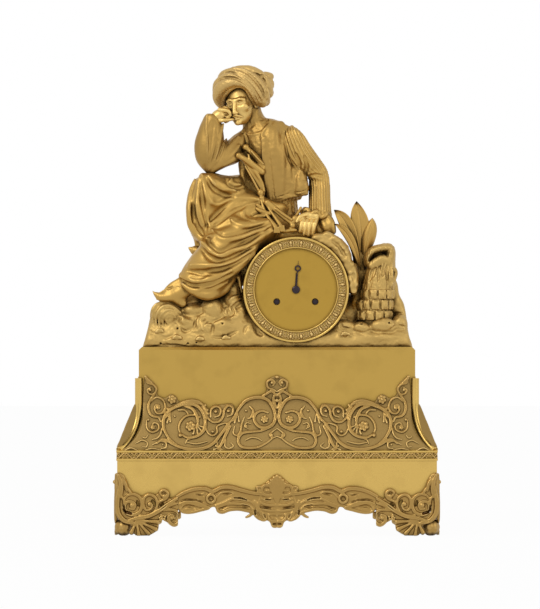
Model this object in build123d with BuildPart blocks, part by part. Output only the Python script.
"""A figural mantel clock: a seated figure leans on the clock's drum, on a two-tier plinth.

Millimetres. X runs to the right of the dial, the front faces -Y, Z is up. The origin is at the
middle of the footprint, on the surface that the clock stands on.
"""

from build123d import *
import os
from math import atan2, cos, degrees, hypot, pi, radians, sin, sqrt

os.makedirs("parts", exist_ok=True)

# Plinth: feet, lower box, ornament band, flared upper box
ground_clearance = 35.0      # floor to the underside of the lower box
lower_length = 372.0
lower_depth = 154.0
lower_top = 88.0
band_height = 11.6
band_thickness = 13.0
band_reveal = 1.0            # the band stands this far out from the lower box
flare_step = 25.4            # how far the concave flare steps in, on every side
flare_height = 51.5
upper_wall_height = 65.0
top_plate_thickness = 4.0
top_chamfer = 3.6
plate_wall = 3.0
pendulum_slot_length = 46.0
pendulum_slot_width = 16.0

# Scrollwork, aprons and feet
scroll_relief = 4.0
scroll_seat = 0.3
scroll_height = 84.0
apron_thickness = 4.0
bracket_reach = 74.0         # length of a corner bracket's wing along the front
side_bracket_reach = 52.0    # and along the side
ball_radius = 10.0
ball_flat = 7.7              # centre of the ball above the floor
rib_radius = 4.5
rod_radius = 2.0
nut_radius = 4.5
nut_height = 3.5
rod_clearance = 0.1
rod_end = 2.5                # how far a rod screws into the top plate
joint_gap = 0.3              # small gap at curved faces that meet

# Clock drum, dial and bezel
dial_x = 22.2
dial_z = 287.0
bezel_radius = 62.0
bezel_front = -51.0          # Y of the bezel's front
bezel_depth = 9.0
dial_radius = 48.6
dial_face = -45.5            # Y of the dial's face
dial_thickness = 1.2
winding_hole_radius = 4.2
dial_hole_radius = 4.0
drum_radius = 59.0
drum_wall = 2.5
drum_back = 36.0             # Y of the drum's rear edge
door_thickness = 1.5
door_gap = 0.4
hinge_radius = 2.6
hinge_pin_radius = 1.2
running_gap = 0.05           # radial clearance of shafts that turn
knuckle_length = 12.0

# Movement: plates, pillars, wheel train
movement_plate_radius = 42.0
front_plate_y = -34.0        # inner face of the front plate
back_plate_y = 4.0           # inner face of the back plate
movement_plate = 2.0
pillar_radius = 2.6
pillar_circle = 37.0
pivot_radius = 0.8
winding_spacing = 45.0
winding_drop = 14.0          # winding arbors below the dial centre
winding_arbor_radius = 1.9
winding_arbor_end = 1.2      # the square ends this far behind the dial's face
strap_width = 9.0
wheel_thickness = 1.4
tooth_clearance = 0.12       # the teeth are this much thinner than half a pitch

barrel_teeth = 84
second_pinion_leaves = 14
second_teeth = 72
centre_pinion_leaves = 12
centre_teeth = 84
third_pinion_leaves = 7
third_teeth = 78
escape_pinion_leaves = 7
escape_teeth = 35
cannon_leaves = 12
minute_wheel_teeth = 36
minute_pinion_leaves = 10
hour_teeth = 40
barrel_module = 0.46
second_module = 0.42
centre_module = 0.38
third_module = 0.36
motion_module = 0.5
escape_radius = 9.5
escape_drop = 13.0           # escape arbor below the pallet arbor
pallet_rise = 35.0           # pallet arbor above the dial centre
barrel_drum_radius = 17.2
barrel_drum_depth = 17.0

# Hands, pendulum, hammer and bell
minute_hand_length = 34.0
hour_hand_length = 20.0
hand_thickness = 0.8
pendulum_length = 147.0
bob_radius = 19.0
bob_thickness = 8.0
rod_thickness = 2.0
rod_width = 3.0
pendulum_y = 13.0
bell_radius = 30.0
bell_depth = 11.0
bell_wall = 1.5
bell_y = 19.0
hammer_gap = 0.8

# Figure group above the plinth: its places are shares of this height, in hundredths
group_height = 329.0

# Places that follow from the sizes above
upper_length = lower_length + 2 * band_reveal - 2 * flare_step
upper_depth = lower_depth + 2 * band_reveal - 2 * flare_step
band_top = lower_top + band_height
flare_top = band_top + flare_height
upper_top = flare_top + upper_wall_height
plinth_top = upper_top + top_plate_thickness
hundredth = group_height / 100


def save(part, label):
    """Label a finished piece and write it as its own file."""
    part.label = label
    export_step(part, f"parts/{label}.step")


def front_plane(y, place=(0, 0)):
    """A vertical plane that faces the front at this Y, with its origin at a place from the dial's axis."""
    return Plane(origin=(dial_x + place[0], y, dial_z + place[1]), x_dir=(1, 0, 0), z_dir=(0, -1, 0))


def facing(y):
    """A vertical plane that faces the front at this Y, with world X and Z as its own axes."""
    return Plane(origin=(0, y, 0), x_dir=(1, 0, 0), z_dir=(0, -1, 0))


def mitred_side(outward, half_out, half_along, corner_out, corner_along, points, arc_to=None):
    """One side of a rectangular frame: a profile carried along the side and mitred at 45 degrees.

    outward is the side's direction. The profile's points are (distance outwards, height). The mitre
    planes pass through the corner at (corner_out, corner_along).
    """
    along = Vector(outward.Y, -outward.X, 0)
    profile_plane = Plane(origin=(0, 0, 0), x_dir=outward, z_dir=along)
    with BuildPart() as side:
        with BuildSketch(profile_plane):
            with BuildLine():
                Polyline(*points)
                if arc_to:
                    for start, end in arc_to:
                        TangentArc(start, end, tangent=(0, -1))
                    Line(arc_to[0][1], arc_to[1][1])
                else:
                    Line(points[-1], points[0])
            make_face()
        extrude(amount=half_along + half_out, both=True)
        corner = outward * corner_out + along * corner_along
        split(bisect_by=Plane(origin=corner, z_dir=outward - along), keep=Keep.TOP)
        corner = outward * corner_out - along * corner_along
        split(bisect_by=Plane(origin=corner, z_dir=outward + along), keep=Keep.TOP)
    return side.part


sides = {
    "front": Vector(0, -1, 0),
    "back": Vector(0, 1, 0),
    "left": Vector(-1, 0, 0),
    "right": Vector(1, 0, 0),
}


def half_sizes(name, length, depth):
    """Half the size across a side and half its length along it."""
    if name in ("front", "back"):
        return depth / 2, length / 2
    return length / 2, depth / 2


def save_sides(pieces, front_label, side_label):
    """Write the front and back pieces by themselves and the two equal ends as one group."""
    save(pieces["front"], f"{front_label.format('front')}")
    save(pieces["back"], f"{front_label.format('back')}")
    save(Compound(children=[pieces["left"], pieces["right"]]), side_label)


# Lower box: four mitred plates under a deck plate
lower_plates = {}
for name, outward in sides.items():
    out, along_half = half_sizes(name, lower_length, lower_depth)
    lower_plates[name] = mitred_side(
        outward, out, along_half, out, along_half,
        [(out - plate_wall, ground_clearance), (out, ground_clearance),
         (out, lower_top - plate_wall), (out - plate_wall, lower_top - plate_wall)],
    )
save_sides(lower_plates, "lower_{}_plate", "lower_side_plates")

rod_places = [
    (x * (upper_length / 2 - 3 * nut_radius), y * (upper_depth / 2 - 3 * nut_radius))
    for x in (-1, 1) for y in (-1, 1)
]

with BuildPart() as deck_plate:
    with BuildSketch(Plane.XY.offset(lower_top - plate_wall)):
        Rectangle(lower_length, lower_depth)
        with Locations(*rod_places):
            Circle(rod_radius + rod_clearance, mode=Mode.SUBTRACT)
    extrude(amount=plate_wall)
save(deck_plate.part, "deck_plate")

# Ornament band: four mitred mouldings round the foot of the upper box
band_strips = []
for name, outward in sides.items():
    out, along_half = half_sizes(name, lower_length, lower_depth)
    out, along_half = out + band_reveal, along_half + band_reveal
    lip = band_height / 6
    band_strips.append(mitred_side(
        outward, out, along_half, out, along_half,
        [(out - band_thickness, lower_top), (out, lower_top), (out, lower_top + lip),
         (out - lip, lower_top + 2 * lip), (out - lip, band_top - 2 * lip),
         (out, band_top - lip), (out, band_top), (out - band_thickness, band_top)],
    ))
band_mouldings = Compound(children=band_strips)
save(band_mouldings, "band_mouldings")

# Upper box: four panels with a concave flare, mitred at the corners
panels = {}
for name, outward in sides.items():
    out, along_half = half_sizes(name, upper_length, upper_depth)
    foot = out + flare_step
    panels[name] = mitred_side(
        outward, out, along_half, out, along_half,
        [(out, flare_top), (out, upper_top), (out - plate_wall, upper_top),
         (out - plate_wall, flare_top)],
        arc_to=[((out, flare_top), (foot, band_top)),
                ((out - plate_wall, flare_top), (foot - plate_wall, band_top))],
    )
save_sides(panels, "upper_{}_panel", "upper_side_panels")

with BuildPart() as top_plate:
    with BuildSketch(Plane.XY.offset(upper_top)):
        Rectangle(upper_length, upper_depth)
        with Locations((dial_x, pendulum_y)):
            Rectangle(pendulum_slot_length, pendulum_slot_width, mode=Mode.SUBTRACT)
    extrude(amount=top_plate_thickness)
    with BuildSketch(Plane.XY.offset(upper_top)):
        with Locations(*rod_places):
            Circle(rod_radius + rod_clearance)
    extrude(amount=rod_end, mode=Mode.SUBTRACT)
    top_face = top_plate.faces().sort_by(Axis.Z)[-1]
    chamfer(top_face.outer_wire().edges(), length=top_chamfer)
save(top_plate.part, "top_plate")

# Tie rods clamp the plinth: screwed into the top plate, with a nut under the deck
with BuildPart() as tie_rods:
    with BuildSketch(Plane.XY.offset(lower_top - plate_wall - nut_height)):
        with Locations(*rod_places):
            Circle(rod_radius)
    extrude(amount=upper_top + rod_end - lower_top + plate_wall + nut_height)
    with BuildSketch(Plane.XY.offset(lower_top - plate_wall - nut_height)):
        with Locations(*rod_places):
            RegularPolygon(nut_radius, side_count=6)
    extrude(amount=nut_height)
save(tie_rods.part, "tie_rods")

# Scrollwork and aprons: flat ribbons rolled into volutes


def volute(centre, outer, turns, start, width, hand):
    """The outline of one volute: a ribbon whose radius shrinks steadily as it turns.

    start is the angle of its outer end in degrees and hand is 1 or -1 for the way it turns.
    """
    steps = int(8 * turns) + 1
    width = min(width, 0.33 * outer / turns)
    outside, inside = [], []
    for i in range(steps):
        angle = radians(start) + hand * 2 * pi * turns * i / (steps - 1)
        shrink = 1 - 0.78 * i / (steps - 1)
        ribbon = width * (1 - 0.4 * i / (steps - 1))
        radius = outer * shrink
        outside.append((centre[0] + radius * cos(angle), centre[1] + radius * sin(angle)))
        radius -= ribbon
        inside.append((centre[0] + radius * cos(angle), centre[1] + radius * sin(angle)))
    with BuildSketch() as ribbon_face:
        with BuildLine():
            Spline(*outside)
            Line(outside[-1], inside[-1])
            Spline(*reversed(inside))
            Line(inside[0], outside[0])
        make_face()
        with Locations(centre):
            Circle(0.26 * outer)
    return ribbon_face.sketch


# Each volute of the front panel's right half: x, z, radius, turns, start angle, hand, as shares of
# the scrollwork's height measured from its foot at the middle of the front
front_volute_shares = [
    (0.14, 0.43, 0.17, 1.6, 160, -1),
    (0.35, 0.42, 0.31, 1.5, 180, -1),
    (0.85, 0.52, 0.21, 1.3, 180, -1),
    (1.22, 0.35, 0.385, 1.9, 200, 1),
    (0.55, 0.20, 0.17, 1.4, 60, 1),
    (0.86, 0.18, 0.17, 1.3, 120, -1),
    (1.62, 0.62, 0.12, 1.2, 260, -1),
    (1.72, 0.83, 0.09, 1.2, 260, -1),
    (0.07, 0.90, 0.09, 1.3, 240, -1),
]
# The side panel's right half, in the same way
side_volute_shares = [
    (0.18, 0.40, 0.20, 1.5, 180, -1),
    (0.46, 0.36, 0.27, 1.6, 180, 1),
    (0.10, 0.76, 0.12, 1.3, 200, -1),
]
ribbon_share = 0.055
foot_strip_share = 0.06


def scroll_pattern(shares, half_length, stem_share):
    """A symmetrical pattern of volutes standing on a strip, in a sketch of X and height."""
    ribbon = ribbon_share * scroll_height
    with BuildSketch() as pattern:
        with Locations((0, foot_strip_share * scroll_height / 2)):
            Rectangle(2 * half_length, foot_strip_share * scroll_height)
        with Locations((0, stem_share * scroll_height / 2)):
            Rectangle(1.6 * ribbon, stem_share * scroll_height)
        for x, z, radius, turns, start, hand in shares:
            centre = (x * scroll_height, z * scroll_height)
            add(volute(centre, radius * scroll_height, turns, start, ribbon, hand))
            with Locations((centre[0], centre[1] / 2)):
                Rectangle(ribbon * 2 / 3, centre[1])
        mirror(about=Plane.YZ)
    return pattern.sketch


def scroll_panel(name, shares, half_length, stem_share):
    """Pierced scrollwork: a bent sheet that leans on the flare, cut to the volutes' outline."""
    outward = sides[name]
    out, along_half = half_sizes(name, upper_length, upper_depth)
    foot = out + flare_step + scroll_seat
    back = out + scroll_seat
    along = Vector(outward.Y, -outward.X, 0)
    pattern = scroll_pattern(shares, half_length, stem_share)
    with BuildPart() as panel:
        with BuildSketch(Plane(origin=(0, 0, 0), x_dir=outward, z_dir=along)):
            with BuildLine():
                Polyline(
                    (foot, band_top), (foot, band_top + scroll_relief),
                    (back + scroll_relief, flare_top + scroll_relief),
                    (back + scroll_relief, band_top + scroll_height),
                    (back, band_top + scroll_height), (back, flare_top),
                    (foot - scroll_relief / 2, band_top), close=True,
                )
            make_face()
        extrude(amount=half_length, both=True)
        with BuildSketch(Plane(origin=(0, 0, band_top), x_dir=-along, z_dir=outward)):
            add(pattern)
        extrude(amount=out + 2 * flare_step, mode=Mode.INTERSECT)
        add(panels[name], mode=Mode.SUBTRACT)
    return panel.part


front_reach = upper_length / 2 - rib_radius
front_scrolls = scroll_panel("front", front_volute_shares, front_reach, 0.98)
save(front_scrolls, "front_scrolls")
side_reach = upper_depth / 2 - rib_radius
side_pair = [scroll_panel(name, side_volute_shares, side_reach, 0.9) for name in ("left", "right")]
save(Compound(children=side_pair), "side_scrolls")

# Corner ribs follow the flare down each mitre
rib_top = band_top + scroll_height
with BuildPart() as corner_rib:
    with BuildLine(Plane(origin=(0, 0, 0), x_dir=(1, 1, 0), z_dir=(1, -1, 0))) as rib_path:
        inner = sqrt(2) * upper_depth / 2
        outer = inner + sqrt(2) * flare_step - rib_radius
        Line((inner, rib_top), (inner, flare_top))
        TangentArc((inner, flare_top), (outer, band_top), tangent=(0, -1))
    with BuildSketch(Plane.XY.offset(rib_top)):
        with Locations((upper_depth / 2, upper_depth / 2)):
            Circle(rib_radius)
    sweep(path=rib_path.wires()[0])
rib_shift = (upper_length - upper_depth) / 2
ribs = []
for x_side in (1, -1):
    for y_side in (1, -1):
        rib = Pos(rib_shift, 0, 0) * corner_rib.part
        if x_side < 0:
            rib = rib.mirror(Plane.YZ)
        if y_side < 0:
            rib = rib.mirror(Plane.XZ)
        neighbours = [panels["right" if x_side > 0 else "left"], panels["back" if y_side > 0 else "front"]]
        with BuildPart() as fitted_rib:
            add(rib)
            add(neighbours, mode=Mode.SUBTRACT)
            split(bisect_by=Plane.XY.offset(band_top), keep=Keep.TOP)
        ribs.append(fitted_rib.part.solids().sort_by(SortBy.VOLUME)[-1])
save(Compound(children=ribs), "corner_ribs")

# Front apron: a pierced rail with a palmette, cut to a lobed outline
apron_rise = 60.5            # lowest pendant to the palmette's tip
apron_foot = 11.7            # lowest pendant above the floor
apron_top_shares = [(1.0, 0.60), (0.86, 0.72), (0.70, 0.74), (0.50, 0.77), (0.28, 0.69),
                    (0.16, 0.70), (0.09, 0.84), (0.0, 1.0)]
apron_low_shares = [(0.0, 0.0), (0.13, 0.11), (0.22, 0.26), (0.32, 0.32), (0.45, 0.33),
                    (0.57, 0.26), (0.66, 0.38), (0.78, 0.31), (0.88, 0.28), (1.0, 0.42)]
# Piercings: x, z, half width, half height
apron_hole_shares = [(0.88, 0.54, 0.055, 0.055), (0.665, 0.55, 0.05, 0.09), (0.52, 0.55, 0.045, 0.11),
                     (0.37, 0.51, 0.05, 0.08), (0.22, 0.50, 0.045, 0.09), (0.075, 0.28, 0.03, 0.07)]
side_top_shares = [(1.0, 0.66), (0.55, 0.66), (0.25, 0.62), (0.0, 0.78)]
side_low_shares = [(0.0, 0.16), (0.35, 0.34), (0.65, 0.30), (1.0, 0.40)]
side_hole_shares = [(0.45, 0.48, 0.14, 0.05)]


def apron_rail(outward, half_out, half_span, top_shares, low_shares, hole_shares):
    """A flat pierced rail on the outer face of the lower box, symmetrical about its middle."""
    along = Vector(outward.Y, -outward.X, 0)
    with BuildPart() as rail:
        with BuildSketch(Plane(origin=outward * half_out + Vector(0, 0, apron_foot),
                               x_dir=-along, z_dir=outward)):
            with BuildLine():
                Spline(*[(x * half_span, z * apron_rise) for x, z in top_shares])
                Spline(*[(x * half_span, z * apron_rise) for x, z in low_shares])
                Line((half_span, top_shares[0][1] * apron_rise), (half_span, low_shares[-1][1] * apron_rise))
                Line((0, top_shares[-1][1] * apron_rise), (0, low_shares[0][1] * apron_rise))
            make_face()
            for x, z, half_width, half_height in hole_shares:
                with Locations((x * half_span, z * apron_rise)):
                    Ellipse(half_width * half_span, half_height * apron_rise, mode=Mode.SUBTRACT)
            mirror(about=Plane.YZ)
        extrude(amount=apron_thickness)
    return rail.part


front_span = lower_length / 2 + apron_thickness - bracket_reach
side_span = lower_depth / 2 + apron_thickness - side_bracket_reach
save(apron_rail(sides["front"], lower_depth / 2, front_span, apron_top_shares, apron_low_shares,
                apron_hole_shares), "front_apron")
side_rails = [apron_rail(sides[name], lower_length / 2, side_span, side_top_shares, side_low_shares,
                         side_hole_shares) for name in ("left", "right")]
save(Compound(children=side_rails), "side_aprons")

# Corner brackets: two scrolled wings that meet at the corner, on a pad over the ball foot
pad_bottom = 22.0
pad_thickness = 4.0
bracket_rise = 74.0          # top of the corner leaf above the floor
volute_relief = 2.0
# The wing's outline: distance from the corner as a share of its reach, height as a share of its rise
wing_top_shares = [(0.0, 1.0), (0.09, 0.99), (0.22, 0.84), (0.42, 0.70), (0.60, 0.69), (0.80, 0.76),
                   (1.0, 0.60)]
wing_low_shares = [(0.50, 0.0), (0.70, 0.02), (0.78, 0.16), (0.90, 0.20), (1.0, 0.34)]
wing_volute_shares = [(0.28, 0.47, 0.14), (0.55, 0.50, 0.12), (0.80, 0.56, 0.09), (0.88, 0.33, 0.10)]
wing_foot = 1.0              # the shell at the wing's foot ends this far above the floor


def bracket_wing(plane, reach, outward):
    """One wing of a corner bracket, from the corner along its own X, with raised volutes.

    outward is 1 where the plane faces away from the clock, and -1 where it faces the clock.
    """
    rise = bracket_rise - wing_foot
    with BuildPart() as wing:
        with BuildSketch(plane):
            with BuildLine():
                Spline(*[(x * reach, wing_foot + z * rise) for x, z in wing_top_shares])
                ball_clear = 2 * ball_radius + joint_gap
                Polyline((0, bracket_rise), (0, pad_bottom), (ball_clear, pad_bottom), (ball_clear, wing_foot),
                         *[(x * reach, wing_foot + z * rise) for x, z in wing_low_shares])
                Line((reach, wing_foot + wing_top_shares[-1][1] * rise),
                     (reach, wing_foot + wing_low_shares[-1][1] * rise))
            make_face()
        extrude(amount=-apron_thickness * outward)
        with BuildSketch(plane):
            for x, z, radius in wing_volute_shares:
                with Locations((x * reach, wing_foot + z * rise)):
                    Circle(radius * bracket_reach)
                    Circle(radius * bracket_reach / 2, mode=Mode.SUBTRACT)
        extrude(amount=volute_relief * outward)
    return wing.part


corner_x = lower_length / 2 + apron_thickness
corner_y = lower_depth / 2 + apron_thickness
front_wing = bracket_wing(Plane(origin=(corner_x, corner_y, 0), x_dir=(-1, 0, 0), z_dir=(0, 1, 0)),
                          bracket_reach, 1)
side_wing = bracket_wing(Plane(origin=(corner_x, corner_y, 0), x_dir=(0, -1, 0), z_dir=(-1, 0, 0)),
                         side_bracket_reach, -1)
with BuildPart() as corner_bracket:
    add([front_wing, side_wing])
    with BuildSketch(Plane.XY.offset(pad_bottom)):
        with Locations((corner_x - ball_radius, corner_y - ball_radius)):
            Rectangle(2 * ball_radius, 2 * ball_radius)
    extrude(amount=pad_thickness)
with BuildPart() as ball_foot:
    with BuildSketch(Plane(origin=(corner_x - ball_radius, corner_y - ball_radius, 0),
                           x_dir=(1, 0, 0), z_dir=(0, -1, 0))):
        flat = sqrt(ball_radius ** 2 - ball_flat ** 2)
        neck = ball_radius / 2
        shoulder = ball_flat + sqrt(ball_radius ** 2 - neck ** 2)
        with BuildLine():
            Polyline((neck, shoulder), (neck, pad_bottom), (0, pad_bottom), (0, 0), (flat, 0))
            ThreePointArc((flat, 0), (ball_radius, ball_flat), (neck, shoulder))
        make_face()
    revolve(axis=Axis((corner_x - ball_radius, corner_y - ball_radius, 0), (0, 0, 1)))


def four_corners(piece):
    """The piece and its mirror images at the other three corners."""
    left = piece.mirror(Plane.YZ)
    return [piece, left, piece.mirror(Plane.XZ), left.mirror(Plane.XZ)]


save(Compound(children=four_corners(corner_bracket.part)), "corner_brackets")
save(Compound(children=four_corners(ball_foot.part)), "ball_feet")

# Drum case, bezel and dial
bezel_back = bezel_front + bezel_depth
with BuildPart() as drum_case:
    with BuildSketch(front_plane(bezel_back)):
        Circle(drum_radius)
        Circle(drum_radius - drum_wall, mode=Mode.SUBTRACT)
    extrude(amount=bezel_back - drum_back)
    with BuildSketch(Plane.XY.offset(dial_z - drum_radius - drum_wall)):
        with Locations((dial_x, pendulum_y)):
            Rectangle(pendulum_slot_length * 2 / 3, pendulum_slot_width)
    extrude(amount=drum_radius / 2, mode=Mode.SUBTRACT)
save(drum_case.part, "drum_case")

dial_seat = dial_radius + 4 * joint_gap + drum_wall
with BuildPart() as bezel:
    lip = bezel_depth / 6
    with BuildSketch(Plane(origin=(dial_x, 0, dial_z), x_dir=(1, 0, 0), z_dir=(0, 0, 1))):
        with BuildLine():
            Polyline(
                (dial_seat, bezel_back), (dial_seat, dial_face - joint_gap),
                (dial_radius, dial_face - joint_gap), (dial_radius, bezel_front + lip),
            )
            ThreePointArc((dial_radius, bezel_front + lip), (dial_radius + lip / 2, bezel_front + lip / 2),
                          (dial_radius + lip, bezel_front + lip))
            Polyline(
                (dial_radius + lip, bezel_front + lip), (dial_radius + lip, bezel_front + 2 * lip),
                (bezel_radius - 2 * lip, bezel_front + 2 * lip), (bezel_radius - 2 * lip, bezel_front + lip),
            )
            ThreePointArc((bezel_radius - 2 * lip, bezel_front + lip), (bezel_radius - lip, bezel_front),
                          (bezel_radius, bezel_front + lip))
            Polyline((bezel_radius, bezel_front + lip), (bezel_radius, bezel_back), (dial_seat, bezel_back))
        make_face()
    revolve(axis=Axis((dial_x, 0, dial_z), (0, 1, 0)))
save(bezel.part, "bezel")

front_plate_face = front_plate_y - movement_plate
winding_x = winding_spacing / 2
winding_places = {"going": (winding_x, -winding_drop), "strike": (-winding_x, -winding_drop)}
dial_foot_radius = 1.5
dial_foot_circle = 38.0
with BuildPart() as dial_plate:
    with BuildSketch(front_plane(dial_face)):
        Circle(dial_seat - joint_gap)
        Circle(dial_hole_radius, mode=Mode.SUBTRACT)
        with Locations(*winding_places.values()):
            Circle(winding_hole_radius, mode=Mode.SUBTRACT)
    extrude(amount=-dial_thickness)
    with BuildSketch(front_plane(dial_face + dial_thickness)):
        with PolarLocations(dial_foot_circle, 3, start_angle=90):
            Circle(dial_foot_radius)
    extrude(amount=dial_face + dial_thickness - front_plate_face)
save(dial_plate.part, "dial_plate")

# Movement: toothed wheels are drawn by formula, and each is set in mesh with the one that drives it


def toothed_outline(teeth, module, phase, depth_share=0.95):
    """The corner points of a toothed wheel: root, tip, tip, root for each tooth. phase in degrees."""
    pitch = module * teeth / 2
    root = pitch - 1.15 * module
    tip = pitch + depth_share * module
    half_root = (pi * module / 2 - tooth_clearance) / 2 / pitch
    half_tip = 0.42 * half_root
    points = []
    for i in range(teeth):
        middle = radians(phase) + 2 * pi * i / teeth
        for radius, angle in ((root, -half_root * 1.2), (tip, -half_tip), (tip, half_tip),
                              (root, half_root * 1.2)):
            points.append((radius * cos(middle + angle), radius * sin(middle + angle)))
    return points


def mesh_phase(driver_phase, driver_teeth, direction, teeth):
    """The phase that puts a wheel in mesh. direction is the angle from the driver to the wheel."""
    offset = radians(direction - driver_phase) % (2 * pi / driver_teeth)
    return direction + 180 + degrees(offset * driver_teeth / teeth) + 180 / teeth


def meeting_point(first, first_reach, second, second_reach, side):
    """The point at given distances from two others. side is 1 or -1."""
    gap_x, gap_z = second[0] - first[0], second[1] - first[1]
    gap = hypot(gap_x, gap_z)
    forward = (first_reach ** 2 - second_reach ** 2 + gap ** 2) / (2 * gap)
    sideways = side * sqrt(first_reach ** 2 - forward ** 2)
    return (first[0] + (forward * gap_x - sideways * gap_z) / gap,
            first[1] + (forward * gap_z + sideways * gap_x) / gap)


def direction_to(start, end):
    """The angle from one place to another, in degrees."""
    return degrees(atan2(end[1] - start[1], end[0] - start[0]))


def reach(module, teeth, leaves):
    """The distance between the centres of a wheel and the pinion it meets."""
    return module * (teeth + leaves) / 2


def disc(place, y, depth, radius):
    """A short cylinder along Y, from y towards the back."""
    with BuildPart() as cylinder:
        with BuildSketch(front_plane(y, place)):
            Circle(radius)
        extrude(amount=-depth)
    return cylinder.part


def wheel(place, y, depth, teeth, module, phase, crossings=0):
    """A toothed wheel or pinion at a place, from y towards the back, with open crossings."""
    with BuildPart() as toothed:
        with BuildSketch(front_plane(y, place)):
            with BuildLine():
                Polyline(*toothed_outline(teeth, module, phase), close=True)
            make_face()
            if crossings:
                rim = module * teeth / 2 * 0.55
                with PolarLocations(rim, crossings):
                    Circle(0.42 * rim, mode=Mode.SUBTRACT)
        extrude(amount=-depth)
    return toothed.part


centre = (0, 0)
pallet_place = (0, pallet_rise)
escape_place = (0, pallet_rise - escape_drop)
second_place = meeting_point(centre, reach(second_module, second_teeth, centre_pinion_leaves),
                             winding_places["going"],
                             reach(barrel_module, barrel_teeth, second_pinion_leaves), 1)
third_place = meeting_point(centre, reach(centre_module, centre_teeth, third_pinion_leaves),
                            escape_place, reach(third_module, third_teeth, escape_pinion_leaves), 1)
motion_reach = reach(motion_module, minute_wheel_teeth, cannon_leaves)
hour_module = 2 * motion_reach / (minute_pinion_leaves + hour_teeth)
motion_angle = 60
motion_place = (motion_reach * cos(radians(motion_angle)), motion_reach * sin(radians(motion_angle)))

# Depths of the wheels between the plates, as shares of the space from the front plate to the back
plate_space = back_plate_y - front_plate_y
barrel_wheel_share = 0.53
second_wheel_share = 0.66
centre_wheel_share = 0.77
third_wheel_share = 0.905
escape_wheel_share = 0.42
pinion_length = 4.5


def depth_at(share):
    """Y at a share of the space between the plates."""
    return front_plate_y + share * plate_space


centre_phase = 0.0
third_phase = mesh_phase(centre_phase, centre_teeth, direction_to(centre, third_place), third_pinion_leaves)
escape_phase = mesh_phase(third_phase, third_teeth, direction_to(third_place, escape_place),
                          escape_pinion_leaves)
second_phase = mesh_phase(centre_phase, centre_pinion_leaves, direction_to(centre, second_place),
                          second_teeth)
barrel_phase = mesh_phase(second_phase, second_pinion_leaves,
                          direction_to(second_place, winding_places["going"]), barrel_teeth)
motion_phase = mesh_phase(0.0, cannon_leaves, motion_angle, minute_wheel_teeth)
hour_phase = mesh_phase(motion_phase, minute_pinion_leaves, motion_angle + 180, hour_teeth)

back_plate_face = back_plate_y + movement_plate
train_places = [second_place, third_place, escape_place]

# Plates, with a running hole for every arbor
centre_arbor_radius = 1.0
hammer_place_shares = (-0.79, 0.33)
hammer_place = tuple(share * movement_plate_radius for share in hammer_place_shares)
hammer_arbor_radius = 1.2
pillar_angles = (9, 57, 123, 171, 270)
pillar_places = [(pillar_circle * cos(radians(a)), pillar_circle * sin(radians(a))) for a in pillar_angles]
for name, y in (("front_plate", front_plate_y - movement_plate), ("back_plate", back_plate_y)):
    with BuildPart() as movement_side:
        with BuildSketch(front_plane(y)):
            Circle(movement_plate_radius)
            with Locations(*train_places, pallet_place):
                Circle(pivot_radius + running_gap, mode=Mode.SUBTRACT)
            with Locations(centre):
                Circle(centre_arbor_radius + running_gap, mode=Mode.SUBTRACT)
            with Locations(*winding_places.values()):
                Circle(winding_arbor_radius + running_gap, mode=Mode.SUBTRACT)
            with Locations(hammer_place):
                Circle(hammer_arbor_radius + running_gap, mode=Mode.SUBTRACT)
            if name == "front_plate":
                with Locations(motion_place):
                    Circle(pivot_radius + running_gap, mode=Mode.SUBTRACT)
        extrude(amount=-movement_plate)
    save(movement_side.part, name)

with BuildPart() as pillars:
    with BuildSketch(front_plane(front_plate_y)):
        with Locations(*pillar_places):
            Circle(pillar_radius)
    extrude(amount=-plate_space)
save(pillars.part, "pillars")


def arbor(place, radius=pivot_radius, front=front_plate_face, back=back_plate_face):
    """A plain arbor that runs in both plates."""
    return disc(place, front, back - front, radius)


# Going train
with BuildPart() as centre_wheel:
    add(disc(centre, dial_face - 3 * hand_thickness, back_plate_face - dial_face + 3 * hand_thickness,
             centre_arbor_radius))
    add(wheel(centre, depth_at(centre_wheel_share), wheel_thickness, centre_teeth, centre_module,
              centre_phase, crossings=5))
    add(wheel(centre, depth_at(second_wheel_share) - pinion_length / 3, pinion_length,
              centre_pinion_leaves, second_module, centre_phase))
save(centre_wheel.part, "centre_wheel")

with BuildPart() as second_wheel:
    add(arbor(second_place))
    add(wheel(second_place, depth_at(second_wheel_share), wheel_thickness, second_teeth, second_module,
              second_phase, crossings=5))
    add(wheel(second_place, depth_at(barrel_wheel_share) - pinion_length / 3, pinion_length,
              second_pinion_leaves, barrel_module, second_phase))
save(second_wheel.part, "second_wheel")

with BuildPart() as third_wheel:
    add(arbor(third_place))
    add(wheel(third_place, depth_at(third_wheel_share), wheel_thickness, third_teeth, third_module,
              third_phase, crossings=5))
    add(wheel(third_place, depth_at(centre_wheel_share) - pinion_length / 3, pinion_length,
              third_pinion_leaves, centre_module, third_phase))
save(third_wheel.part, "third_wheel")

with BuildPart() as escape_wheel:
    add(arbor(escape_place))
    add(wheel(escape_place, depth_at(third_wheel_share) - pinion_length / 4, pinion_length * 3 / 4,
              escape_pinion_leaves, third_module, escape_phase))
    with BuildSketch(front_plane(depth_at(escape_wheel_share), escape_place)):
        with BuildLine():
            points = []
            for i in range(escape_teeth):
                for radius_share, turn_share in ((0.84, 0.0), (1.0, 0.5), (0.97, 0.62), (0.84, 0.55)):
                    angle = 2 * pi * (i + turn_share) / escape_teeth
                    points.append((radius_share * escape_radius * cos(angle),
                                   radius_share * escape_radius * sin(angle)))
            Polyline(*points, close=True)
        make_face()
        with PolarLocations(0.5 * escape_radius, 4):
            Circle(0.22 * escape_radius, mode=Mode.SUBTRACT)
    extrude(amount=-wheel_thickness * 2 / 3)
save(escape_wheel.part, "escape_wheel")


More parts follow.
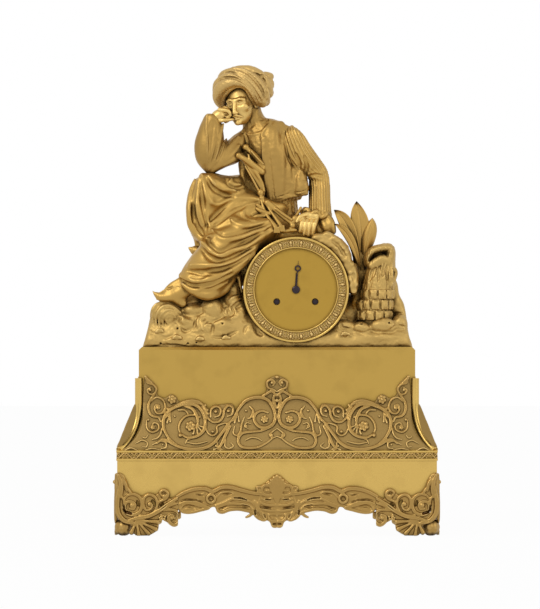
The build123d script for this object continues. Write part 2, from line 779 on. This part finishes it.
def barrel(place, phase):
    """A spring barrel: a toothed drum that turns freely on its winding arbor."""
    wheel_y = depth_at(barrel_wheel_share)
    with BuildPart() as drum:
        add(wheel(place, wheel_y, wheel_thickness, barrel_teeth, barrel_module, phase))
        add(disc(place, wheel_y - barrel_drum_depth, barrel_drum_depth, barrel_drum_radius))
        add(disc(place, wheel_y - barrel_drum_depth, barrel_drum_depth + wheel_thickness,
                 winding_arbor_radius + running_gap), mode=Mode.SUBTRACT)
    return drum.part


for name, place in winding_places.items():
    save(barrel(place, barrel_phase if name == "going" else 0.0), f"{name}_barrel")
    square = 2 * winding_arbor_radius / sqrt(2)
    with BuildPart() as winding_arbor:
        add(disc(place, front_plate_face, back_plate_face - front_plate_face, winding_arbor_radius))
        with BuildSketch(front_plane(dial_face + winding_arbor_end, place)):
            Rectangle(square, square)
        extrude(amount=dial_face + winding_arbor_end - front_plate_face)
    save(winding_arbor.part, f"{name}_winding_arbor")

# Motion work and hands
cannon_radius = 1.8
hour_pipe_radius = 2.7
pipe_gap = running_gap
motion_depth = 1.2
cannon_y = front_plate_face - 3 * joint_gap - motion_depth
hour_y = cannon_y - 2 * motion_depth - joint_gap
hour_hand_y = dial_face - joint_gap - hand_thickness
minute_hand_y = hour_hand_y - joint_gap - hand_thickness
hand_lean = 5.0              # the minute hand leans this far past twelve, in degrees
ring_share = 0.735           # the minute hand's ring, as a share of its length
ring_radius = 3.7
ring_eye = 2.2
hub_radius = 3.6


def hand(y, length, stem, ring_at, lean):
    """A flat hand from the dial's centre, with an open ring if ring_at is set."""
    with BuildPart() as pointer:
        with BuildSketch(front_plane(y)):
            Circle(hub_radius)
            with BuildLine():
                turn = radians(90 - lean)
                across = (-sin(turn), cos(turn))
                ends = ((0, stem), (length, stem / 6), (length, -stem / 6), (0, -stem))
                Polyline(*[(reach_out * cos(turn) + side_out * across[0],
                            reach_out * sin(turn) + side_out * across[1]) for reach_out, side_out in ends],
                         close=True)
            make_face()
            if ring_at:
                with Locations((ring_at * cos(turn), ring_at * sin(turn))):
                    Circle(ring_radius)
                    Circle(ring_eye, mode=Mode.SUBTRACT)
        extrude(amount=-hand_thickness)
    return pointer.part


with BuildPart() as minute_hand:
    add(hand(minute_hand_y, minute_hand_length, 0.9, ring_share * minute_hand_length, hand_lean))
    add(disc(centre, minute_hand_y, cannon_y + motion_depth - minute_hand_y, cannon_radius))
    add(wheel(centre, cannon_y, motion_depth, cannon_leaves, motion_module, 0.0))
    add(disc(centre, minute_hand_y - hand_thickness, plate_space, centre_arbor_radius + pipe_gap),
        mode=Mode.SUBTRACT)
save(minute_hand.part, "minute_hand")

with BuildPart() as hour_hand:
    add(hand(hour_hand_y, hour_hand_length, 1.3, 0, hand_lean / 12))
    add(disc(centre, hour_hand_y, hour_y + motion_depth - hour_hand_y, hour_pipe_radius))
    add(wheel(centre, hour_y, motion_depth, hour_teeth, hour_module, hour_phase, crossings=4))
    add(disc(centre, hour_hand_y - hand_thickness, plate_space, cannon_radius + pipe_gap), mode=Mode.SUBTRACT)
save(hour_hand.part, "hour_hand")

with BuildPart() as motion_wheel:
    add(disc(motion_place, hour_y - joint_gap, front_plate_y - hour_y + joint_gap, pivot_radius))
    add(wheel(motion_place, cannon_y, motion_depth, minute_wheel_teeth, motion_module, motion_phase))
    add(wheel(motion_place, hour_y - joint_gap, cannon_y - hour_y + joint_gap, minute_pinion_leaves,
              hour_module, motion_phase))
save(motion_wheel.part, "motion_wheel")

# Anchor with its crutch, on the same axis as the pendulum
crutch_drop = 30.0
crutch_y = pendulum_y - rod_thickness
pallet_clear = 1.0           # the pallets stand this far off the teeth, all the way through the swing
pallet_span = 5.2            # half the distance between the two pallets
arm_width = 1.8
with BuildPart() as anchor:
    add(arbor(pallet_place, back=crutch_y + wheel_thickness / 2))
    with BuildSketch(front_plane(depth_at(escape_wheel_share), pallet_place)):
        foot_z = -escape_drop + sqrt((escape_radius + pallet_clear) ** 2 - pallet_span ** 2)
        for side in (-1, 1):
            with BuildLine():
                Polyline((0, arm_width), (side * pallet_span, foot_z + 2 * arm_width),
                         (side * (pallet_span + arm_width), foot_z + arm_width / 2),
                         (side * pallet_span, foot_z), (side * (pallet_span - arm_width), foot_z + arm_width),
                         (0, -arm_width), close=True)
            make_face()
    extrude(amount=-wheel_thickness)
    with BuildSketch(front_plane(crutch_y, pallet_place)):
        with Locations((0, -crutch_drop / 2)):
            Rectangle(arm_width, crutch_drop)
    extrude(amount=-wheel_thickness / 2)
    with BuildSketch(front_plane(crutch_y, (0, pallet_rise - crutch_drop))):
        fork_width = rod_width + 2 * arm_width + 2 * joint_gap
        Rectangle(fork_width, arm_width)
    extrude(amount=-2 * rod_thickness)
    with BuildSketch(front_plane(crutch_y + wheel_thickness / 2, (0, pallet_rise - crutch_drop))):
        Rectangle(rod_width + 2 * joint_gap, 2 * arm_width)
    extrude(amount=-2 * rod_thickness, mode=Mode.SUBTRACT)
save(anchor.part, "anchor")

# Suspension cock on the back plate, and the pendulum that hangs from it
cock_width = 8.0
cock_height = 5.0
spring_height = 5.0
with BuildPart() as suspension_cock:
    with BuildSketch(front_plane(back_plate_face, (0, pallet_rise + pivot_radius + spring_height))):
        Rectangle(cock_width, cock_height)
    extrude(amount=back_plate_face - pendulum_y - 2 * rod_thickness)
    with BuildSketch(front_plane(back_plate_face, (0, movement_plate_radius - cock_height / 4))):
        Rectangle(2 * cock_width, cock_height)
    extrude(amount=-movement_plate)
save(suspension_cock.part, "suspension_cock")

rod_y = pendulum_y - rod_thickness / 2
spring_thickness = 0.4
bob_profile_shares = [(0.0, -0.5), (0.62, -0.42), (1.0, -0.08), (1.0, 0.08), (0.62, 0.42), (0.0, 0.5)]
with BuildPart() as pendulum:
    top = pallet_rise + spring_height + pivot_radius - cock_height / 2 - joint_gap
    spring_middle = (0, (top + pallet_rise) / 2 - cock_height / 2)
    with BuildSketch(front_plane(pendulum_y - spring_thickness / 2, spring_middle)):
        Rectangle(rod_width, top - pallet_rise + cock_height)
    extrude(amount=-spring_thickness)
    rod_top = pallet_rise - cock_height / 2
    rod_bottom = pallet_rise - pendulum_length
    with BuildSketch(front_plane(rod_y, (0, (rod_top + rod_bottom) / 2))):
        Rectangle(rod_width, rod_top - rod_bottom)
    extrude(amount=-rod_thickness)
    with BuildSketch(Plane.XY.move(Location((dial_x, pendulum_y, dial_z + rod_bottom)))):
        with BuildLine():
            Polyline(*[(r * bob_radius, y * bob_thickness) for r, y in bob_profile_shares], close=True)
        make_face()
    revolve(axis=Axis((dial_x, pendulum_y, dial_z + rod_bottom), (0, 1, 0)))
save(pendulum.part, "pendulum")

# Bell, open towards the movement, on a bent stand that passes outside its rim
bell_curve_shares = [(0.0, 1.0), (0.5, 0.93), (0.85, 0.62), (1.0, 0.0)]
stand_radius = 1.6
stand_place = (-bell_radius - 3 * stand_radius, -bell_radius / 3)
bell_back = bell_y + bell_depth
with BuildPart() as bell:
    with BuildSketch(Plane(origin=(dial_x, 0, dial_z), x_dir=(1, 0, 0), z_dir=(0, 0, 1))):
        with BuildLine():
            for radius, crown in ((bell_radius, bell_back), (bell_radius - bell_wall, bell_back - bell_wall)):
                Spline(*[(r * radius, bell_y + y * (crown - bell_y)) for r, y in bell_curve_shares])
            Line((bell_radius, bell_y), (bell_radius - bell_wall, bell_y))
            Line((0, bell_back - bell_wall), (0, bell_back))
        make_face()
    revolve(axis=Axis((dial_x, 0, dial_z), (0, 1, 0)))
save(bell.part, "bell")

with BuildPart() as bell_stand:
    stand_length = bell_back - back_plate_face + 2 * stand_radius
    add(disc(stand_place, back_plate_face, stand_length, stand_radius))
    middle = (stand_place[0] / 2, stand_place[1] / 2)
    tilt = direction_to(stand_place, centre)
    arm_plane = front_plane(bell_back, middle)
    with BuildSketch(arm_plane):
        Rectangle(hypot(*stand_place) + 2 * stand_radius, 2 * stand_radius, rotation=tilt)
    extrude(amount=-2 * stand_radius)
save(bell_stand.part, "bell_stand")

# Hammer, on an arbor beside the bell
hammer_head_radius = 3.5
hammer_angle = 130.0
head_reach = bell_radius + hammer_gap + hammer_head_radius
head_place = (head_reach * cos(radians(hammer_angle)), head_reach * sin(radians(hammer_angle)))
hammer_y = bell_y - bell_wall
with BuildPart() as hammer:
    add(disc(hammer_place, front_plate_face, hammer_y - front_plate_face + bell_wall, hammer_arbor_radius))
    stem_length = hypot(head_place[0] - hammer_place[0], head_place[1] - hammer_place[1])
    stem_middle = ((head_place[0] + hammer_place[0]) / 2, (head_place[1] + hammer_place[1]) / 2)
    with BuildSketch(front_plane(hammer_y, stem_middle)):
        Rectangle(stem_length, 2 * hammer_arbor_radius, rotation=direction_to(hammer_place, head_place))
    extrude(amount=-bell_wall)
    add(disc(head_place, hammer_y, bell_depth / 2, hammer_head_radius))
save(hammer.part, "hammer")

# Rear ring, straps from the bezel to the ring, door and hinge pin
ring_depth = 3.0
ring_lip = 1.5
ring_inner = 50.0
door_radius = 52.0
ring_outer = drum_radius - drum_wall - joint_gap
with BuildPart() as straps:
    with BuildSketch(front_plane(bezel_back)):
        for side in (-1, 1):
            with Locations((side * (ring_outer - drum_wall), 0)):
                Rectangle(drum_wall, strap_width)
    extrude(amount=bezel_back - drum_back + ring_lip)
save(straps.part, "straps")

door_front = drum_back + ring_depth + door_gap
hinge_x = dial_x + drum_radius + hinge_radius + joint_gap
hinge_y = door_front + door_thickness / 2
knuckle_span = 3 * knuckle_length + 2 * joint_gap


def hinge_plane(z):
    """A horizontal plane across the hinge, with its origin on the hinge axis."""
    return Plane(origin=(hinge_x, hinge_y, dial_z + z), x_dir=(1, 0, 0), z_dir=(0, 0, 1))


with BuildPart() as rear_ring:
    with BuildSketch(front_plane(drum_back)):
        Circle(drum_radius)
        Circle(ring_inner, mode=Mode.SUBTRACT)
    extrude(amount=-ring_depth)
    with BuildSketch(front_plane(drum_back - ring_lip)):
        Circle(ring_outer)
        Circle(ring_inner, mode=Mode.SUBTRACT)
    extrude(amount=-ring_lip)
    for bottom in (-knuckle_span / 2, knuckle_span / 2 - knuckle_length):
        leaf_depth = hinge_y - drum_back
        with BuildSketch(hinge_plane(bottom)):
            Circle(hinge_radius)
            with Locations((-hinge_radius / 2, -leaf_depth + ring_depth / 2)):
                Rectangle(3 * hinge_radius, ring_depth)
        extrude(amount=knuckle_length)
    with BuildSketch(hinge_plane(-knuckle_span / 2)):
        Circle(hinge_pin_radius)
    extrude(amount=knuckle_span, mode=Mode.SUBTRACT)
save(rear_ring.part, "rear_ring")

with BuildPart() as hinge_pin:
    with BuildSketch(hinge_plane(-knuckle_span / 2)):
        Circle(hinge_pin_radius)
    extrude(amount=knuckle_span)
save(hinge_pin.part, "hinge_pin")

with BuildPart() as rear_door:
    with BuildSketch(front_plane(door_front)):
        Circle(door_radius)
        leaf_length = hinge_x - dial_x - door_radius + drum_wall
        with Locations((door_radius - drum_wall + leaf_length / 2, 0)):
            Rectangle(leaf_length, knuckle_length)
    extrude(amount=-door_thickness)
    with BuildSketch(hinge_plane(-knuckle_length / 2)):
        Circle(hinge_radius)
    extrude(amount=knuckle_length)
    with BuildSketch(hinge_plane(-knuckle_length / 2)):
        Circle(hinge_pin_radius + running_gap)
    extrude(amount=knuckle_length, mode=Mode.SUBTRACT)
save(rear_door.part, "rear_door")

# Figure group: places are (x, y, z) in hundredths of the group's height, above the plinth's top


def spot(x, y, z):
    """A place in the figure group."""
    return Vector(x * hundredth, y * hundredth, plinth_top + z * hundredth)


def limb(shares):
    """A rounded form lofted through ellipses: x, y, z, half width and half depth at each station."""
    places = [spot(*station[:3]) for station in shares]
    with BuildPart() as form:
        for i, station in enumerate(shares):
            before, after = places[max(i - 1, 0)], places[min(i + 1, len(places) - 1)]
            along = (after - before).normalized()
            across = along.cross(Vector(0, 1, 0)).normalized()
            with BuildSketch(Plane(origin=places[i], x_dir=across, z_dir=along)):
                Ellipse(station[3] * hundredth, station[4] * hundredth)
        loft()
    return form.part


def crag(levels):
    """A faceted rock: a ruled loft through polygons with the same number of corners."""
    with BuildPart() as form:
        for z, corners in levels:
            with BuildSketch(Plane.XY.offset(plinth_top + z * hundredth)):
                Polygon(*[(x * hundredth, y * hundredth) for x, y in corners], align=None)
        loft(ruled=True)
    return form.part


with BuildPart() as clock_space:
    add(disc(centre, bezel_front - bezel_depth, 2 * bezel_depth + joint_gap, bezel_radius + joint_gap))
    add(disc(centre, bezel_back, drum_back + ring_depth - bezel_back + drum_wall, drum_radius + joint_gap))

left_rock_shares = [
    (0, [(-48, -10), (-41, -13.6), (-30, -14.4), (-17, -14.6), (-5, -13.6),
         (0, -7), (0, 10.4), (-30, 12), (-46, 9)]),
    (4.5, [(-47.2, -9.6), (-40, -13.6), (-30, -14.6), (-17, -15), (-5, -13.4),
           (0, -7), (0, 10.4), (-30, 13), (-45.4, 10)]),
    (9.5, [(-45.8, -8.6), (-39, -12.4), (-30, -13.6), (-17, -13.8), (-6.5, -11.6),
           (-2, -6), (-2, 10.4), (-30, 13.6), (-44, 10.4)]),
    (14.5, [(-43.6, -6), (-38, -10.4), (-30, -11.6), (-19, -11.4), (-9, -9.6),
            (-5, -5), (-5, 10.4), (-29, 13.6), (-41.5, 9.6)]),
    (18.5, [(-39, -3), (-35.5, -6), (-29, -7.4), (-19, -7.6), (-11, -6.6),
            (-7, -3), (-7, 10.4), (-27, 13.6), (-37, 9.6)]),
    (27, [(-35, 1), (-32.5, -1.6), (-27, -3.2), (-18, -3.8), (-11, -3.6),
          (-7, -2.4), (-7, 10), (-23, 13.4), (-32, 9.4)]),
    (34, [(-30, 3), (-27, 0.4), (-22, -1.8), (-15, -2.8), (-9, -2.8),
          (-5, -1.6), (-5, 9.6), (-17, 12.6), (-26, 9.4)]),
    (39, [(-23.5, 4.6), (-21, 3), (-17, 1.6), (-12, 1), (-8, 1),
          (-5, 2), (-5, 8.4), (-13, 11), (-20.5, 9)]),
]
seat_rock_shares = [
    (0, [(-30, -3), (-16, -7), (-2, -6), (3, 0), (3, 10), (-12, 10.5), (-28, 9.6)]),
    (20, [(-30, -2), (-17, -5), (-6, -4), (0, 0), (0, 10), (-12, 10.2), (-28, 9)]),
    (34, [(-26, 0), (-17, -3), (-7, -3), (4, 0), (5, 8.5), (-10, 9.5), (-24, 8)]),
    (42, [(-18, 1), (-13, -1), (-5, -1), (2, 1), (2, 7.5), (-8, 8.5), (-16, 7)]),
]
right_rock_shares = [
    (0, [(-1, -8), (6, -14.2), (26, -14.8), (41, -14.2), (47.2, -9), (46.6, 8), (30, 10.5), (-1, 10.4)]),
    (4, [(-1, -8), (6, -13.2), (26, -13.8), (40, -13.4), (46.8, -8), (46, 7.6), (30, 10), (-1, 10)]),
    (9, [(2, -4), (8, -8), (26, -11), (38, -11.5), (45.4, -7), (45.5, 7.2), (30, 9.6), (2, 9.4)]),
]
rear_rock_shares = [
    (6, [(25, -3), (34, -2.5), (43, -5), (46, -5), (46, 7.4), (37, 9.8), (25, 9.6)]),
    (16, [(26, -2.5), (34, -1.5), (41.5, -3), (44.3, -3.5), (44.6, 6.6), (37, 9.6), (26, 9.2)]),
    (24, [(27, -1), (34, -1), (40.5, -1.6), (42.8, -1), (43, 6), (36, 9.2), (27, 8.6)]),
    (31, [(28.5, 1), (33, 0), (39, 0), (41.4, 1.5), (41, 6.5), (35, 8.4), (28.5, 7.6)]),
]
with BuildPart() as rock_base:
    for shares in (left_rock_shares, seat_rock_shares, right_rock_shares, rear_rock_shares):
        add(crag(shares))
    add(clock_space.part, mode=Mode.SUBTRACT)
    with BuildSketch(Plane.XY.offset(plinth_top)):
        with Locations((dial_x, pendulum_y)):
            Rectangle(pendulum_slot_length * 2 / 3, pendulum_slot_width)
    extrude(amount=drum_radius, mode=Mode.SUBTRACT)
save(rock_base.part, "rock_base")

# Figure. Each piece is cut by the pieces that carry it
thigh_shares = [(-0.5, 2.5, 49.0, 6.6, 6.6), (-6.5, 0.5, 51.0, 7.0, 7.2), (-12.5, -3, 54.0, 7.0, 7.0),
                (-18.0, -6, 57.0, 6.0, 6.2), (-22.6, -7.5, 58.6, 3.8, 4.4)]
shin_shares = [(-21.8, -7.0, 61.2, 3.0, 4.0), (-24.6, -7.2, 55.0, 6.4, 6.0), (-25.6, -6.8, 47.0, 6.2, 6.0),
               (-24.8, -5.6, 40.0, 4.8, 5.4), (-24.0, -4.6, 35.5, 3.2, 4.2)]
lap_shares = [(-4.0, -1.0, 45.5, 4.5, 6.6), (-13.0, -4.5, 45.0, 6.4, 7.0), (-20.5, -6.2, 41.5, 5.6, 6.4),
              (-24.5, -6.0, 37.5, 3.4, 4.0)]
left_leg_shares = [(3.0, 1.0, 45.0, 5.0, 6.2), (-6.5, -5.0, 41.5, 6.2, 7.4), (-14.0, -9.0, 36.0, 7.2, 7.6),
                   (-21.5, -10.6, 30.0, 7.6, 7.0), (-28.5, -10.6, 24.0, 6.2, 6.0),
                   (-33.0, -10.5, 20.6, 2.8, 3.4)]
torso_shares = [(1.0, 3, 45.5, 7.4, 6.4), (0.9, 3, 50.5, 7.8, 6.4), (0.0, 2.5, 57.6, 9.2, 6.5),
                (-1.0, 2, 64.7, 9.9, 6.7), (-2.6, 1.5, 71.8, 9.9, 6.3), (-3.8, 1.2, 77.0, 9.6, 5.0),
                (-5.4, 1, 80.4, 5.4, 3.6)]
neck_shares = [(-6.0, 0.9, 79.6, 3.8, 3.6), (-8.6, 0.1, 82.8, 3.0, 3.1), (-11.8, -1.2, 86.4, 3.0, 3.2)]
head_shares = [(-12.6, -4.0, 80.4, 1.6, 1.6), (-12.9, -3.4, 82.4, 3.6, 3.8), (-13.2, -2.6, 85.5, 4.8, 5.2),
               (-13.3, -2.2, 89.0, 5.1, 5.7), (-13.2, -2.0, 92.2, 4.6, 5.3), (-13.0, -2.0, 95.0, 2.6, 3.0)]
right_upper_shares = [(-8.6, 1.0, 73.4, 4.2, 4.8), (-13.5, -1.5, 69.2, 4.6, 4.6),
                      (-18.5, -4.2, 66.0, 4.2, 4.4), (-23.4, -5.6, 64.8, 2.6, 3.2)]
right_sleeve_shares = [(-24.2, -5.7, 63.4, 2.4, 3.0), (-25.0, -6.0, 68.0, 5.2, 4.6),
                       (-23.9, -6.2, 73.5, 6.1, 4.8), (-24.0, -6.2, 78.5, 5.0, 4.2),
                       (-24.2, -5.9, 81.4, 4.2, 3.4)]
right_hand_shares = [(-23.6, -6.0, 80.6, 2.2, 2.2), (-22.2, -5.9, 83.0, 2.8, 2.6),
                     (-19.6, -5.6, 84.8, 2.6, 2.5), (-16.8, -5.4, 84.4, 1.4, 1.6)]
left_sleeve_shares = [(4.6, 2.4, 76.6, 3.2, 3.8), (8.2, 2.6, 70.4, 4.6, 4.6), (12.2, 3.2, 63.5, 4.8, 4.7),
                      (15.2, 2.4, 56.5, 4.1, 4.3), (15.9, 0.4, 50.0, 4.0, 4.2), (15.6, -2.8, 44.6, 4.6, 4.4)]
left_hand_shares = [(14.4, -3.6, 44.6, 2.6, 2.4), (12.4, -5.0, 43.4, 3.2, 2.4), (10.8, -6.4, 41.0, 3.4, 2.2),
                    (10.0, -7.4, 38.4, 2.4, 1.6)]
left_shoe_shares = [(-31.6, -10.5, 19.4, 3.6, 3.2), (-36.0, -11.0, 18.6, 3.2, 3.0),
                    (-40.6, -11.6, 18.2, 2.4, 2.5), (-44.3, -12.0, 19.6, 0.9, 1.1)]
right_shoe_shares = [(-25.0, -4.5, 35.6, 2.6, 2.6), (-28.8, -5.4, 34.4, 2.0, 2.2), (-31.6, -6.0, 35.2, 0.8, 0.9)]
pistol_shares = [(-13.4, -5.0, 68.0, 1.5, 1.5), (-12.0, -5.2, 67.2, 0.9, 1.0), (-6.0, -5.2, 64.0, 1.1, 1.1),
                 (-1.0, -5.0, 61.0, 1.2, 1.2)]
dagger_shares = [(-11.6, -4.6, 71.2, 1.3, 1.3), (-9.6, -5.0, 69.0, 0.8, 0.9), (-4.0, -5.4, 64.8, 1.0, 1.0),
                 (-1.0, -5.2, 62.0, 1.0, 1.0)]
sabre_shares = [(-8.6, -6.6, 46.4, 1.3, 1.3), (-5.6, -7.0, 47.6, 0.8, 0.9), (-1.0, -6.6, 48.8, 0.9, 1.2),
                (3.0, -5.8, 47.4, 0.9, 1.3), (6.2, -5.0, 44.0, 0.8, 1.1)]


def figure_piece(label, forms, carriers):
    """Fuse the forms of one cast piece and cut away what its carriers fill."""
    with BuildPart() as piece:
        for form in forms:
            add(form)
        for carrier in carriers:
            add(carrier, mode=Mode.SUBTRACT)
    largest = piece.part.solids().sort_by(SortBy.VOLUME)[-1]
    save(largest, label)
    return largest


space = clock_space.part
rock = rock_base.part
trousers = figure_piece("figure_trousers", [limb(thigh_shares), limb(shin_shares), limb(lap_shares),
                                            limb(left_leg_shares)], [space, rock])
torso = figure_piece("figure_torso", [limb(torso_shares)], [trousers, space, rock])
left_sleeve = figure_piece("figure_left_sleeve", [limb(left_sleeve_shares)], [torso, trousers, space])
right_sleeve = figure_piece("figure_right_sleeve", [limb(right_upper_shares), limb(right_sleeve_shares)],
                            [torso, trousers])
head = figure_piece("figure_head", [limb(neck_shares), limb(head_shares)], [torso])
right_hand = figure_piece("figure_right_hand", [limb(right_hand_shares)], [head, right_sleeve])
left_hand = figure_piece("figure_left_hand", [limb(left_hand_shares)], [left_sleeve, space])
figure_piece("figure_left_shoe", [limb(left_shoe_shares)], [trousers, rock])
figure_piece("figure_right_shoe", [limb(right_shoe_shares)], [trousers, rock])

# Turban: stacked rolls turned about a tilted axis, with a knot at the side
turban_place_share = (-12.4, -0.8, 92.2)
turban_tilt = (0.12, 0.34, 0.93)
turban_roll_shares = [((6.4, -4.4), (9.4, -2.4), (8.0, -0.2)), ((8.0, -0.2), (9.0, 1.8), (6.8, 3.6)),
                      ((6.8, 3.6), (6.0, 5.8), (3.0, 6.4))]
knot_share = (-4.6, 1.5, 95.4, 3.2)
turban_plane = Plane(origin=spot(*turban_place_share), x_dir=(1, 0, -turban_tilt[0] / turban_tilt[2]),
                     z_dir=Vector(*turban_tilt).cross(Vector(1, 0, -turban_tilt[0] / turban_tilt[2])))
with BuildPart() as turban_form:
    with BuildSketch(turban_plane):
        with BuildLine():
            for start, bulge, end in turban_roll_shares:
                ThreePointArc(*[(r * hundredth, -h * hundredth) for r, h in (start, bulge, end)])
            last, first = turban_roll_shares[-1][2], turban_roll_shares[0][0]
            Polyline((last[0] * hundredth, -last[1] * hundredth), (0, -last[1] * hundredth),
                     (0, -first[1] * hundredth), (first[0] * hundredth, -first[1] * hundredth))
        make_face()
    revolve(axis=Axis(turban_plane.origin, turban_plane.y_dir))
with BuildPart() as knot_form:
    with Locations(spot(*knot_share[:3])):
        Sphere(knot_share[3] * hundredth)
figure_piece("figure_turban", [turban_form.part, knot_form.part], [head, torso, right_hand])
figure_piece("figure_pistols", [limb(pistol_shares), limb(dagger_shares)], [torso, right_sleeve])
figure_piece("figure_sabre", [limb(sabre_shares)], [torso, trousers, space])

# Cloth lobe on the drum's right shoulder
lobe_shares = [(17.0, 38.5), (20.1, 40.4), (23.6, 37.4), (26.5, 33.3), (28.8, 28.4), (29.8, 23.5),
               (28.6, 19.4), (26.4, 17.8)]
lobe_front_share = -12.4
lobe_depth_share = 14.0
with BuildPart() as drum_cloth:
    with BuildSketch(facing(lobe_front_share * hundredth)):
        with BuildLine():
            Spline(*[(x * hundredth, plinth_top + z * hundredth) for x, z in lobe_shares])
            start, end = lobe_shares[0], lobe_shares[-1]
            ends = [(x * hundredth, plinth_top + z * hundredth) for x, z in (end, start)]
            Polyline(ends[0], (dial_x, dial_z), ends[1])
        make_face()
    extrude(amount=-lobe_depth_share * hundredth)
    add([space, rock, left_hand, left_sleeve], mode=Mode.SUBTRACT)
drum_cloth_solid = drum_cloth.part.solids().sort_by(SortBy.VOLUME)[-1]
save(drum_cloth_solid, "drum_cloth")

# Palm stump: a leaning core with three rows of blocky scales and a fibrous crown
stump_foot = (35.4, -7.2)
stump_core_shares = [(35.4, -7.2, 7.0, 5.4, 5.2), (35.3, -7.2, 13.5, 6.0, 5.6), (36.4, -6.6, 21.5, 5.0, 4.8),
                     (37.4, -6.0, 31.0, 4.6, 4.4)]
scale_rows = 3
scales_in_row = 9
scale_row_share = 3.9
scale_first_share = 10.6
scale_size_shares = (3.5, 3.5, 1.6)
with BuildPart() as palm_stump:
    add(limb(stump_core_shares))
    for row in range(scale_rows):
        height = scale_first_share + row * scale_row_share
        lean = row * 0.2
        for i in range(scales_in_row):
            angle = 360 * (i + row % 2 / 2) / scales_in_row
            outward = Vector(cos(radians(angle)), sin(radians(angle)), 0)
            middle = spot(stump_foot[0] + lean + 5.2 * outward.X, stump_foot[1] + 5.0 * outward.Y, height)
            with BuildSketch(Plane(origin=middle, x_dir=(-outward.Y, outward.X, 0), z_dir=outward)):
                RectangleRounded(scale_size_shares[0] * hundredth, scale_size_shares[1] * hundredth,
                                 scale_size_shares[2] * hundredth / 2)
            extrude(amount=scale_size_shares[2] * hundredth, taper=14)
    add([rock, drum_cloth_solid, space], mode=Mode.SUBTRACT)
stump_solid = palm_stump.part.solids().sort_by(SortBy.VOLUME)[-1]
save(stump_solid, "palm_stump")

# Leaves: tip, left bulge, foot, right bulge in hundredths, and the Y of each leaf's front
leaf_shares = [
    ((20.2, 49.1), (22.0, 41.5), (29.0, 31.5), (27.6, 41.5), -5.0),
    ((28.6, 52.3), (27.2, 42.0), (30.0, 30.5), (33.2, 42.5), -3.5),
    ((34.6, 46.4), (31.2, 40.5), (31.6, 31.0), (36.0, 40.0), -2.0),
    ((41.6, 30.2), (36.0, 37.4), (31.4, 31.6), (36.0, 30.8), -5.0),
]
leaf_thickness_share = 1.4
leaves = []
for tip, left, foot, right, y in leaf_shares:
    tip, left, foot, right = [(x * hundredth, plinth_top + z * hundredth) for x, z in (tip, left, foot, right)]
    with BuildPart() as leaf:
        with BuildSketch(facing(y * hundredth)):
            with BuildLine():
                ThreePointArc(tip, left, foot)
                ThreePointArc(foot, right, tip)
            make_face()
        extrude(amount=-leaf_thickness_share * hundredth)
        add([rock, drum_cloth_solid, stump_solid, left_sleeve, space], mode=Mode.SUBTRACT)
    leaves.append(leaf.part.solids().sort_by(SortBy.VOLUME)[-1])
save(Compound(children=leaves), "palm_leaves")
